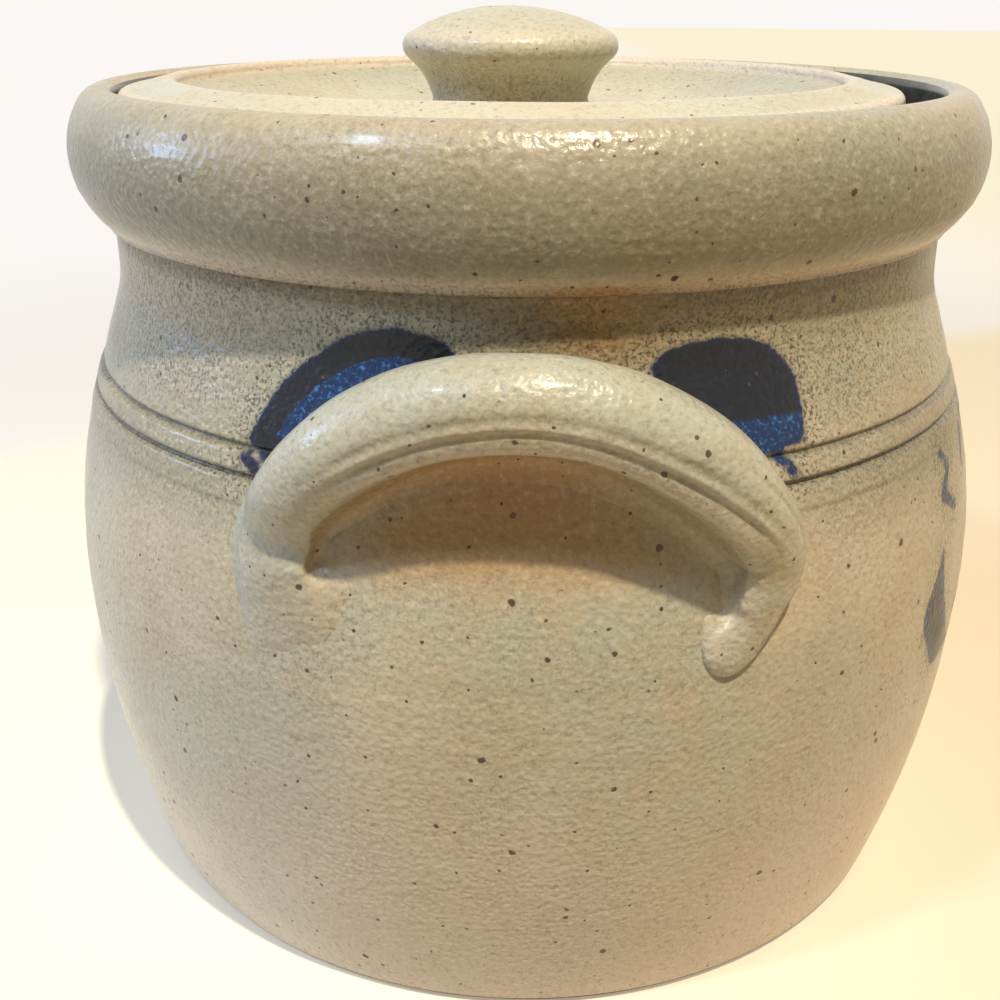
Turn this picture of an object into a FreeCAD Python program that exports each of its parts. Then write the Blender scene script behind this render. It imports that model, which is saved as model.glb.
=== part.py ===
"""Salt-glazed stoneware bean pot with two pulled side handles and a loose lid.

The pot stands on the XY plane with its axis on Z. The front handle faces -Y
and the rear handle faces +Y. The lid lies a little towards -X in its seat.
"""
import FreeCAD, Part

import math
import os
import re

import Sketcher

# Driving dimensions in millimetres, angles in degrees. Radii are counted inwards
# and outwards from the belly, heights downwards from the crest of the rim.
SIZES = {
    "pot_height": 160.2,
    "belly_radius": 97.1,
    # outer wall
    "foot_inset": 9.1,
    "foot_bevel_width": 1.6,
    "foot_bevel_height": 1.8,
    "shoulder_radius": 118.0,
    "shoulder_slope": 19.0,
    "neck_inset": 13.8,
    "neck_curve": 24.0,
    "neck_height": 6.5,
    # rolled rim
    "rim_overhang": 6.7,
    "rim_roll": 17.0,
    "lip_height": 11.3,
    "lip_inset": 6.7,
    "lip_width": 2.3,
    # seat for the lid
    "ledge_depth": 7.3,
    "ledge_width": 9.5,
    "ledge_round": 1.5,
    "ledge_thickness": 6.0,
    "throat_height": 9.0,
    # inside
    "wall_thickness": 7.0,
    "floor_thickness": 8.0,
    "floor_corner": 14.0,
    # incised lines on the shoulder
    "line_rise": 38.8,
    "line_spacing": 4.4,
    "line_depth": 0.5,
    "line_width": 1.1,
    # lid
    "lid_clearance": 3.7,
    "lid_side_gap": 0.4,
    "lid_edge_height": 6.4,
    "lid_edge_round": 1.8,
    "lid_ring_width": 11.3,
    "lid_crown_height": 8.3,
    "lid_crown_round": 1.6,
    "recess_slope_width": 16.0,
    "recess_floor_height": 0.6,
    "lid_thickness": 6.0,
    "bowl_clearance": 0.7,
    "bowl_slope_width": 17.5,
    # knob
    "knob_base_radius": 17.0,
    "knob_stem_radius": 16.0,
    "knob_stem_height": 3.0,
    "knob_foot_curve": 4.2,
    "knob_flare": 14.0,
    "knob_radius": 21.9,
    "knob_edge_round": 3.0,
    "knob_edge_turn": 58.0,
    "knob_height": 20.5,
    "knob_dome": 43.0,
    # handles
    "handle_inset": 14.5,
    "handle_rise": 19.5,
    "handle_tilt": 17.5,
    "arch_half_span": 40.4,
    "arch_rise": 39.2,
    "strap_width": 15.4,
    "strap_thickness": 13.2,
    "strap_end_width": 11.4,
    "strap_end_thickness": 11.0,
    "web_drop": 11.0,
    "web_setback": 8.0,
    "web_width": 12.0,
    "web_thickness": 14.0,
    "pad_reach": 34.5,
    "pad_half_width": 8.5,
    "pad_half_height": 9.5,
    "pad_bulge": 2.4,
    "left_pad_drop": 0.0,
    "right_pad_drop": 4.0,
}

# Where the strap of a handle has a section, in degrees round its arch, and how
# far from each end the strap takes to narrow from its root to its full arch.
STRAP_ANGLES = (-22, -6, 12, 31, 50, 70, 90, 110, 130, 149, 168, 186, 202)
STRAP_SWELL_ANGLE = 42.0

# Where the clay that joins the back of the strap to the wall has a section.
WEB_ANGLES = (8, 36, 63, 90, 117, 144, 172)


def in_sheet(formula):
    """Point every size named in a formula at its cell of the sheet."""
    return re.sub(r"[a-z]+(?:_[a-z]+)+", lambda name: "Sizes." + name.group(), formula)


def worked_out(sheet, formula):
    """The number that a formula of sizes gives."""
    value = sheet.evalExpression(in_sheet(formula))
    return float(getattr(value, "Value", value))


def bind(thing, path, formula):
    thing.setExpression(path, in_sheet(formula))


def make_sheet(doc):
    sheet = doc.addObject("Spreadsheet::Sheet", "Sizes")
    for row, (name, value) in enumerate(SIZES.items(), start=1):
        sheet.set(f"A{row}", name)
        sheet.set(f"B{row}", str(value))
        sheet.setAlias(f"B{row}", name)
    doc.recompute()
    return sheet


# Profiles. A vertex is (radius, height, arc): two formulas, and for the edge
# that leads to the next vertex None, or the formula of the arc's radius with
# the side its centre lies on, +1 left and -1 right of the way along the edge.

NECK_R = "(belly_radius - neck_inset)"
RIM_R = f"({NECK_R} + rim_overhang)"
LIP_R = f"({RIM_R} - lip_inset)"
GALLERY_R = f"({LIP_R} - lip_width)"
MOUTH_R = f"({GALLERY_R} - ledge_width)"
ROLL_Z = "(pot_height - lip_height)"
LEDGE_Z = "(pot_height - ledge_depth)"
LEDGE_FOOT_Z = f"({LEDGE_Z} - ledge_thickness)"

CREASE_Z = f"({ROLL_Z} - sqrt(rim_roll^2 - (rim_roll - rim_overhang)^2))"
NECK_TOP_Z = f"({CREASE_Z} - neck_height)"
NECK_FOOT_R = f"({NECK_R} + neck_curve * (1 - cos(shoulder_slope)))"
NECK_FOOT_Z = f"({NECK_TOP_Z} - neck_curve * sin(shoulder_slope))"
SHOULDER_R = "(belly_radius - shoulder_radius * (1 - cos(shoulder_slope)))"
SHOULDER_Z = f"({NECK_FOOT_Z} - ({SHOULDER_R} - {NECK_FOOT_R}) / tan(shoulder_slope))"
BELLY_Z = f"({SHOULDER_Z} - shoulder_radius * sin(shoulder_slope))"
LOWER_WALL = f"((({BELLY_Z} - foot_bevel_height)^2 + foot_inset^2) / (2 * foot_inset))"

LIP_DR = "(rim_roll - lip_inset)"
LIP_ROUND = f"(({LIP_DR}^2 + lip_height^2 - rim_roll^2) / (2 * (lip_height - rim_roll)))"
LIP_STRETCH = f"(rim_roll / (rim_roll - {LIP_ROUND}))"

OUTER = [
    ("0", "0", None),
    ("belly_radius - foot_inset - foot_bevel_width", "0", None),
    ("belly_radius - foot_inset", "foot_bevel_height", (LOWER_WALL, 1)),
    ("belly_radius", BELLY_Z, ("shoulder_radius", 1)),
    (SHOULDER_R, SHOULDER_Z, None),
    (NECK_FOOT_R, NECK_FOOT_Z, ("neck_curve", -1)),
    (NECK_R, NECK_TOP_Z, None),
    (NECK_R, CREASE_Z, ("rim_roll", 1)),
    (f"{RIM_R} - rim_roll + {LIP_DR} * {LIP_STRETCH}",
     f"{ROLL_Z} + (lip_height - {LIP_ROUND}) * {LIP_STRETCH}", (LIP_ROUND, 1)),
    (LIP_R, "pot_height", None),
]

INNER_WALL = f"({LOWER_WALL} - wall_thickness)"
CORNER_REACH = f"({INNER_WALL} - floor_corner)"
CORNER_Z = "(floor_thickness + floor_corner)"
CORNER_R = (f"(belly_radius - {LOWER_WALL}"
            f" + sqrt({CORNER_REACH}^2 - ({BELLY_Z} - {CORNER_Z})^2))")

INNER = [
    (LIP_R, "pot_height", ("lip_width", 1)),
    (GALLERY_R, "pot_height - lip_width", None),
    (GALLERY_R, LEDGE_Z, None),
    (f"{MOUTH_R} + ledge_round", LEDGE_Z, ("ledge_round", 1)),
    (MOUTH_R, f"{LEDGE_Z} - ledge_round", None),
    (MOUTH_R, LEDGE_FOOT_Z, None),
    (f"{NECK_R} - wall_thickness", f"{LEDGE_FOOT_Z} - throat_height", None),
    (f"{NECK_R} - wall_thickness", NECK_TOP_Z, ("neck_curve + wall_thickness", 1)),
    (f"{NECK_FOOT_R} - wall_thickness * cos(shoulder_slope)",
     f"{NECK_FOOT_Z} - wall_thickness * sin(shoulder_slope)", None),
    (f"{SHOULDER_R} - wall_thickness * cos(shoulder_slope)",
     f"{SHOULDER_Z} - wall_thickness * sin(shoulder_slope)",
     ("shoulder_radius - wall_thickness", -1)),
    ("belly_radius - wall_thickness", BELLY_Z, (INNER_WALL, -1)),
    (f"belly_radius - {LOWER_WALL} + ({CORNER_R} - belly_radius + {LOWER_WALL})"
     f" * {INNER_WALL} / {CORNER_REACH}",
     f"{BELLY_Z} + ({CORNER_Z} - {BELLY_Z}) * {INNER_WALL} / {CORNER_REACH}",
     ("floor_corner", -1)),
    (CORNER_R, "floor_thickness", None),
    ("0", "floor_thickness", None),
]

POT_SECTION = OUTER[:-1] + INNER
ENVELOPE_SECTION = OUTER + [("0", "pot_height", None)]


def arc_between(start, end, radius, side):
    """The arc from start to end whose centre lies to the given side."""
    chord = end - start
    half = chord.Length / 2
    across = FreeCAD.Vector(-chord.y, chord.x, 0).normalize()
    centre = (start + end) / 2 + across * side * math.sqrt(max(radius ** 2 - half ** 2, 0.0))
    first = math.atan2(start.y - centre.y, start.x - centre.x)
    last = math.atan2(end.y - centre.y, end.x - centre.x)
    if side < 0:
        first, last = last, first
    circle = Part.Circle(centre, FreeCAD.Vector(0, 0, 1), radius)
    return Part.ArcOfCircle(circle, first, last)


def profile_sketch(body, sheet, name, vertices):
    """A closed section in the XZ plane, with every vertex and arc bound to sizes."""
    sketch = body.newObject("Sketcher::SketchObject", name)
    sketch.AttachmentSupport = [(origin_plane(body, "XZ_Plane"), "")]
    sketch.MapMode = "FlatFace"
    points = [FreeCAD.Vector(worked_out(sheet, r), worked_out(sheet, z), 0)
              for r, z, arc in vertices]
    start_ends, last_ends = [], []
    for number, (radius_at, height_at, arc) in enumerate(vertices):
        start, end = points[number], points[(number + 1) % len(points)]
        if arc is None:
            sketch.addGeometry(Part.LineSegment(start, end))
            ends = (1, 2)
        else:
            radius = worked_out(sheet, arc[0])
            sketch.addGeometry(arc_between(start, end, radius, arc[1]))
            ends = (1, 2) if arc[1] > 0 else (2, 1)
            place = sketch.addConstraint(Sketcher.Constraint("Radius", number, radius))
            bind(sketch, f"Constraints[{place}]", arc[0])
        start_ends.append((number, ends[0]))
        last_ends.append((number, ends[1]))
    for number in range(len(vertices)):
        following = (number + 1) % len(vertices)
        sketch.addConstraint(Sketcher.Constraint(
            "Coincident", *last_ends[number], *start_ends[following]))
    for number, (radius_at, height_at, arc) in enumerate(vertices):
        for kind, formula, value in (("DistanceX", radius_at, points[number].x),
                                     ("DistanceY", height_at, points[number].y)):
            place = sketch.addConstraint(Sketcher.Constraint(
                kind, -1, 1, *start_ends[number], value))
            bind(sketch, f"Constraints[{place}]", formula)
    return sketch


def origin_plane(body, role):
    return next(item for item in body.Origin.OriginFeatures if item.Role == role)


def revolve(body, sketch, name):
    """Turn a section round its own vertical axis into a solid."""
    feature = body.newObject("PartDesign::Revolution", name)
    feature.Profile = sketch
    feature.ReferenceAxis = (sketch, ["V_Axis"])
    feature.Angle = 360
    return feature


def line_section(lift):
    """A shallow vee across the shoulder wall, cut by a pointed tool."""
    height = f"({BELLY_Z} + line_rise + {lift})"
    on_wall = f"({SHOULDER_R} - ({height} - {SHOULDER_Z}) * tan(shoulder_slope))"
    return [
        (f"{on_wall} - line_depth", height, None),
        (f"{on_wall} + line_depth", f"{height} - line_width", None),
        (f"{on_wall} + line_depth", f"{height} + line_width", None),
    ]


def make_pot_body(doc, sheet):
    """The thrown pot: wall, rolled rim, seat for the lid and two incised lines."""
    body = doc.addObject("PartDesign::Body", "pot_body")
    section = profile_sketch(body, sheet, "pot_section", POT_SECTION)
    revolve(body, section, "thrown_wall")
    for number, lift in enumerate(("0", "line_spacing"), start=1):
        cut = profile_sketch(body, sheet, f"line_{number}_section", line_section(lift))
        groove = body.newObject("PartDesign::Groove", f"incised_line_{number}")
        groove.Profile = cut
        groove.ReferenceAxis = (cut, ["V_Axis"])
        groove.Angle = 360
    body.Label = "pot_body"
    return body


def make_envelope(doc, sheet):
    """The outer form of the pot as one solid, for trimming what joins it."""
    body = doc.addObject("PartDesign::Body", "pot_envelope")
    section = profile_sketch(body, sheet, "envelope_section", ENVELOPE_SECTION)
    revolve(body, section, "envelope")
    return body


LID_R = f"({GALLERY_R} - lid_clearance)"
LID_OFFSET = "(lid_side_gap - lid_clearance)"
LID_EDGE_TOP = f"({LEDGE_Z} + lid_edge_height)"
LID_CROWN_TOP = f"({LEDGE_Z} + lid_crown_height)"
RECESS_R = f"({LID_R} - lid_ring_width)"
RECESS_FLOOR = f"({LEDGE_Z} + recess_floor_height)"
LID_UNDERSIDE = f"({RECESS_FLOOR} - lid_thickness)"
BOWL_R = f"({MOUTH_R} + {LID_OFFSET} - bowl_clearance)"

LID_SECTION = [
    ("0", LID_UNDERSIDE, None),
    (f"{BOWL_R} - bowl_slope_width", LID_UNDERSIDE, None),
    (BOWL_R, LEDGE_Z, None),
    (f"{LID_R} - lid_edge_round", LEDGE_Z, ("lid_edge_round", 1)),
    (LID_R, f"{LEDGE_Z} + lid_edge_round", None),
    (LID_R, f"{LID_EDGE_TOP} - lid_edge_round", ("lid_edge_round", 1)),
    (f"{LID_R} - lid_edge_round", LID_EDGE_TOP, None),
    (f"{RECESS_R} + lid_crown_round", LID_CROWN_TOP, ("lid_crown_round", 1)),
    (RECESS_R, f"{LID_CROWN_TOP} - lid_crown_round", None),
    (f"{RECESS_R} - recess_slope_width", RECESS_FLOOR, None),
    ("0", RECESS_FLOOR, None),
]

KNOB_TOP = f"{RECESS_FLOOR} + knob_height"
KNOB_EDGE_R = "knob_radius - knob_edge_round * (1 - cos(knob_edge_turn))"
DOME_EDGE_Z = f"{KNOB_TOP} - knob_dome + sqrt(knob_dome^2 - ({KNOB_EDGE_R})^2)"

KNOB_SECTION = [
    ("0", RECESS_FLOOR, None),
    ("knob_base_radius", RECESS_FLOOR, ("knob_foot_curve", -1)),
    ("knob_stem_radius", f"{RECESS_FLOOR} + knob_stem_height", ("knob_flare", -1)),
    (KNOB_EDGE_R, f"{DOME_EDGE_Z} - 2 * knob_edge_round * sin(knob_edge_turn)",
     ("knob_edge_round", 1)),
    (KNOB_EDGE_R, DOME_EDGE_Z, ("knob_dome", 1)),
    ("0", KNOB_TOP, None),
]


def place_on_lid(body, sheet):
    """Set a turned piece on the axis of the lid, a little off the pot's own."""
    body.Placement.Base.x = worked_out(sheet, LID_OFFSET)
    bind(body, "Placement.Base.x", LID_OFFSET)


def make_turned_piece(doc, sheet, name, vertices):
    """A piece of the lid, turned on the wheel about the lid's own axis."""
    body = doc.addObject("PartDesign::Body", name)
    section = profile_sketch(body, sheet, f"{name}_section", vertices)
    revolve(body, section, f"{name}_turned")
    place_on_lid(body, sheet)
    body.Label = name
    return body


def tilted_frame(body, sheet):
    """The leaning plane that carries the arch of a handle, square to the arch."""
    frame = body.newObject("PartDesign::Plane", "arch_frame")
    frame.AttachmentSupport = [(origin_plane(body, "XY_Plane"), "")]
    frame.MapMode = "FlatFace"
    lean = FreeCAD.Rotation(FreeCAD.Vector(1, 0, 0), 1.0)
    frame.AttachmentOffset = FreeCAD.Placement(FreeCAD.Vector(), lean)
    bind(frame, "AttachmentOffset.Base.y", "handle_inset - belly_radius")
    bind(frame, "AttachmentOffset.Base.z", f"{BELLY_Z} + handle_rise")
    bind(frame, "AttachmentOffset.Rotation.Angle", "handle_tilt")
    return frame


def strap_share(angle):
    """How far a section is from the strap's ends: 0 at the ends, 1 over the arch."""
    from_end = min(angle - STRAP_ANGLES[0], STRAP_ANGLES[-1] - angle)
    return min(from_end / STRAP_SWELL_ANGLE, 1.0)


def arch_section(body, frame, name, angle, inset, setback):
    """An empty sketch square to an arch that lies inside the strap's own."""
    sketch = body.newObject("Sketcher::SketchObject", name)
    sketch.AttachmentSupport = [(frame, "")]
    sketch.MapMode = "FlatFace"
    turn = FreeCAD.Rotation(FreeCAD.Vector(0, 1, 0), 1.0)
    sketch.AttachmentOffset = FreeCAD.Placement(FreeCAD.Vector(), turn)
    bind(sketch, "AttachmentOffset.Base.x", f"(arch_half_span - {inset}) * cos({angle})")
    bind(sketch, "AttachmentOffset.Base.y", setback)
    bind(sketch, "AttachmentOffset.Base.z", f"(arch_rise - {inset}) * sin({angle})")
    bind(sketch, "AttachmentOffset.Rotation.Angle",
         f"atan2(0 - arch_half_span * sin({angle}); arch_rise * cos({angle}))")
    return sketch


def draw_oval(sketch, sheet, long_side, short_side, upright):
    """An oval about the middle of a sketch, its axes bound to two formulas."""
    half_long = worked_out(sheet, long_side) / 2
    half_short = worked_out(sheet, short_side) / 2
    long_end, short_end = ((0, half_long), (half_short, 0))
    if not upright:
        long_end, short_end = ((half_long, 0), (0, half_short))
    sketch.addGeometry(Part.Ellipse(FreeCAD.Vector(*long_end, 0),
                                    FreeCAD.Vector(*short_end, 0),
                                    FreeCAD.Vector(0, 0, 0)))
    sketch.exposeInternalGeometry(0)
    sketch.addConstraint(Sketcher.Constraint("Coincident", 0, 3, -1, 1))
    sketch.addConstraint(Sketcher.Constraint("Vertical" if upright else "Horizontal", 1))
    for axis, formula in ((1, long_side), (2, short_side)):
        place = sketch.addConstraint(Sketcher.Constraint(
            "Distance", axis, worked_out(sheet, formula)))
        bind(sketch, f"Constraints[{place}]", formula)


def strap_section(body, frame, sheet, number, angle):
    """One oval of the pulled strap, square to the arch that the strap follows."""
    sketch = arch_section(body, frame, f"strap_section_{number}", angle, "0", "0")
    share = strap_share(angle)
    draw_oval(sketch, sheet, f"{share} * strap_width + {1 - share} * strap_end_width",
              f"{share} * strap_thickness + {1 - share} * strap_end_thickness", True)
    return sketch


def web_section(body, frame, sheet, number, angle):
    """One oval of the clay that fills in between the strap and the wall."""
    sketch = arch_section(body, frame, f"web_section_{number}", angle,
                          "web_drop", "web_setback")
    draw_oval(sketch, sheet, "web_thickness", "web_width", False)
    return sketch


def loft_through(body, name, sections):
    loft = body.newObject("PartDesign::AdditiveLoft", name)
    loft.Profile = sections[0]
    loft.Sections = sections[1:]
    return loft


def wall_pad(body, name, side, drop):
    """A thumbed pad of clay that smears one end of the strap onto the wall."""
    pad = body.newObject("PartDesign::AdditiveEllipsoid", name)
    pad.AttachmentSupport = [(origin_plane(body, "XY_Plane"), "")]
    pad.MapMode = "FlatFace"
    turn = FreeCAD.Rotation(FreeCAD.Vector(0, 0, 1), 1.0)
    pad.AttachmentOffset = FreeCAD.Placement(FreeCAD.Vector(), turn)
    height = f"(handle_rise - {drop})"
    wall = f"(belly_radius - shoulder_radius + sqrt(shoulder_radius^2 - {height}^2))"
    bind(pad, "AttachmentOffset.Base.x", f"{side} * pad_reach")
    bind(pad, "AttachmentOffset.Base.y", f"0 - sqrt({wall}^2 - pad_reach^2)")
    bind(pad, "AttachmentOffset.Base.z", f"{BELLY_Z} + {height}")
    bind(pad, "AttachmentOffset.Rotation.Angle", f"{side} * asin(pad_reach / {wall})")
    bind(pad, "Radius1", "pad_half_height")
    bind(pad, "Radius2", "pad_half_width")
    bind(pad, "Radius3", "pad_bulge")
    return pad


def make_handle(doc, sheet, envelope, name, turn):
    """A pulled lug handle, arched out from the belly and trimmed to the wall."""
    body = doc.addObject("PartDesign::Body", f"{name}_clay")
    frame = tilted_frame(body, sheet)
    loft_through(body, f"{name}_strap", [
        strap_section(body, frame, sheet, number, angle)
        for number, angle in enumerate(STRAP_ANGLES, start=1)])
    loft_through(body, f"{name}_web", [
        web_section(body, frame, sheet, number, angle)
        for number, angle in enumerate(WEB_ANGLES, start=1)])
    wall_pad(body, f"{name}_left_pad", -1, "left_pad_drop")
    wall_pad(body, f"{name}_right_pad", 1, "right_pad_drop")
    body.Placement = FreeCAD.Placement(
        FreeCAD.Vector(), FreeCAD.Rotation(FreeCAD.Vector(0, 0, 1), turn))
    handle = doc.addObject("Part::Cut", name)
    handle.Base = body
    handle.Tool = envelope
    handle.Label = name
    return handle


def check(doc, nodes):
    """Stop if anything in the document failed to build."""
    doc.recompute()
    for thing in doc.Objects:
        if "Invalid" in thing.State or "Error" in thing.State:
            raise RuntimeError(f"{thing.Name} did not build: {thing.State}")
    for node in nodes:
        if node.Shape.isNull() or not node.Shape.isValid():
            raise RuntimeError(f"{node.Label} has no valid shape")


def main():
    doc = FreeCAD.newDocument("bean_pot")
    sheet = make_sheet(doc)
    envelope = make_envelope(doc, sheet)
    nodes = [
        make_pot_body(doc, sheet),
        make_handle(doc, sheet, envelope, "handle_front", 0),
        make_handle(doc, sheet, envelope, "handle_rear", 180),
        make_turned_piece(doc, sheet, "lid_plate", LID_SECTION),
        make_turned_piece(doc, sheet, "lid_knob", KNOB_SECTION),
    ]
    check(doc, nodes)
    os.makedirs("parts", exist_ok=True)
    for node in nodes:
        node.Shape.exportStep(f"parts/{node.Label}.step")


main()
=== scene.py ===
"""Looks of a salt-glazed stoneware bean pot: thrown wall, pulled handles, loose lid.

Every length of the pot is in millimetres here, and every angle in degrees. The
room round it, with its cloth and lamps, is in metres. The pot stands on the XY
plane with its axis on Z, and its front handle faces -Y.
"""
import math

import bmesh
import bpy
from mathutils import Matrix, Vector, noise


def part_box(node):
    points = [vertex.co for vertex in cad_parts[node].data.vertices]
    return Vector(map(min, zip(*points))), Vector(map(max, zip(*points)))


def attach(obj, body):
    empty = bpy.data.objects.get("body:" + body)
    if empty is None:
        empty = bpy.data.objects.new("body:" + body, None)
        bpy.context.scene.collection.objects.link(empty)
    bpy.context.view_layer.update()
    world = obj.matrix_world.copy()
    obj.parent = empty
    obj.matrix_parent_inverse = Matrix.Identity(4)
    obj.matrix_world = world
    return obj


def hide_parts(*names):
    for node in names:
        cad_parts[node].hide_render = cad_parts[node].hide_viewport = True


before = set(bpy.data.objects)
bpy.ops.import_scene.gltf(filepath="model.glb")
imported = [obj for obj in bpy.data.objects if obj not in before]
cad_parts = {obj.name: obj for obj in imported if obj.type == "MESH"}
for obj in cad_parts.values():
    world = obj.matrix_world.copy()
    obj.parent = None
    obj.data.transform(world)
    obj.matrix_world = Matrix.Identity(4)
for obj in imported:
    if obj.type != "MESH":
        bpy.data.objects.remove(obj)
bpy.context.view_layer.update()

MM = 0.001
SEAM_GAP = 0.004


# ---------------------------------------------------------------- small helpers

def smooth_step(value, low, high):
    """0 below low, 1 above high, and a soft slope between them."""
    share = min(max((value - low) / (high - low), 0.0), 1.0)
    return share * share * (3.0 - 2.0 * share)


def bell(value, middle, width):
    return math.exp(-((value - middle) / width) ** 2)


def colour(hex_code):
    """An sRGB hex colour as the linear colour that a shader takes."""
    def to_linear(part):
        return part / 12.92 if part <= 0.04045 else ((part + 0.055) / 1.055) ** 2.4
    return tuple(to_linear(int(hex_code[place:place + 2], 16) / 255.0)
                 for place in (1, 3, 5)) + (1.0,)


def place_object(name, bm, materials):
    """Turn a finished bmesh into an object that sits at the origin."""
    mesh = bpy.data.meshes.new(name)
    bm.to_mesh(mesh)
    bm.free()
    for material in materials:
        mesh.materials.append(material)
    placed = bpy.data.objects.new(name, mesh)
    bpy.context.scene.collection.objects.link(placed)
    return placed


def finish_piece(name, bm, materials, body, node):
    """Close a mesh's seams, point its faces outwards and hand it to its body."""
    bmesh.ops.remove_doubles(bm, verts=bm.verts, dist=SEAM_GAP * MM)
    bmesh.ops.recalc_face_normals(bm, faces=bm.faces)
    for face in bm.faces:
        face.smooth = True
    piece = place_object(name, bm, materials)
    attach(piece, body)
    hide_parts(node)


# ---------------------------------------------------------- the wall of the pot

POT_HIGH = Vector(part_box("pot_body")[1]) / MM
LID_LOW, LID_HIGH = (Vector(corner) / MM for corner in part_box("lid_plate"))
KNOB_LOW, KNOB_HIGH = (Vector(corner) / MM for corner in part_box("lid_knob"))

# Radii are counted from the belly, and heights from the crest of the rim.
BELLY_R = POT_HIGH.x
CREST_Z = POT_HIGH.z
BELLY_Z = CREST_Z - 95.2
LOWER_ARC = 224.0
SHOULDER_ARC = 118.0
SHOULDER_R, SHOULDER_Z = BELLY_R - 6.43, BELLY_Z + 38.42
NECK_FOOT_R, NECK_FOOT_Z = BELLY_R - 12.49, CREST_Z - 39.17
NECK_R = BELLY_R - 13.8
CREASE_Z = CREST_Z - 24.82
LEDGE_Z = CREST_Z - 7.3
OUTSIDE_R = NECK_R - 1.0
LINER_DEPTH = 1.7
FOOT_RING_Z = 1.6
FLOOR_Z = 8.0

# Two incised lines, the crowned band between them, and the step under both.
LINE_ZS = (BELLY_Z + 38.8, BELLY_Z + 43.2)
LINE_WIDTH = 0.55
LINE_DEPTH = 0.75
BAND_CROWN = 0.35
STEP_Z = BELLY_Z + 34.6
STEP_RISE = 0.32


def wall_radius(height):
    """How far the outside of the wall is from the axis, below the neck."""
    if height < BELLY_Z:
        return BELLY_R - LOWER_ARC + math.sqrt(LOWER_ARC ** 2 - (height - BELLY_Z) ** 2)
    if height < SHOULDER_Z:
        return BELLY_R - SHOULDER_ARC + math.sqrt(SHOULDER_ARC ** 2 - (height - BELLY_Z) ** 2)
    share = (height - SHOULDER_Z) / (NECK_FOOT_Z - SHOULDER_Z)
    return max(SHOULDER_R + share * (NECK_FOOT_R - SHOULDER_R), NECK_R)


def straight_to(bm, vertex, radius, height, steps):
    """Carry a section on along a straight line, in equal steps."""
    start, end = vertex.co.copy(), Vector((radius, 0.0, height)) * MM
    for step in range(1, steps + 1):
        vertex = bmesh.ops.extrude_vert_indiv(bm, verts=[vertex])["verts"][0]
        vertex.co = start.lerp(end, step / steps)
    return vertex


def arc_to(bm, vertex, radius, height, bend, side, steps):
    """Carry a section on along an arc whose centre lies to one side of the way."""
    start, end = vertex.co.copy(), Vector((radius, 0.0, height)) * MM
    chord = end - start
    across = Vector((-chord.z, 0.0, chord.x)).normalized()
    reach = math.sqrt(max((bend * MM) ** 2 - (chord.length / 2) ** 2, 0.0))
    centre = (start + end) / 2 + across * side * reach
    turn = side * 2.0 * math.asin(min(chord.length / (2 * bend * MM), 1.0))
    last = bmesh.ops.spin(bm, geom=[vertex], cent=centre, axis=(0.0, -1.0, 0.0),
                          angle=turn, steps=steps)["geom_last"]
    vertex = [item for item in last if isinstance(item, bmesh.types.BMVert)][0]
    vertex.co = end
    return vertex


def draw_section(bm, radius, height, section):
    """Draw a section from its start: 3 numbers in a row are a line, and 5 an arc."""
    pen = bm.verts.new(Vector((radius, 0.0, height)) * MM)
    for row in section:
        carry_on = straight_to if len(row) == 3 else arc_to
        pen = carry_on(bm, pen, *row)


def turn_on_wheel(bm, centre_x, steps):
    """Spin a drawn section all the way round a vertical axis."""
    bmesh.ops.spin(bm, geom=bm.verts[:] + bm.edges[:], cent=(0.0, 0.0, 0.0),
                   axis=(0.0, 0.0, 1.0), angle=math.tau, steps=steps, use_merge=True)
    bmesh.ops.translate(bm, verts=bm.verts, vec=(centre_x * MM, 0.0, 0.0))


STEP_FOOT, BAND_TOP = STEP_Z - 2.0, LINE_ZS[1] + 2.0
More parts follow.
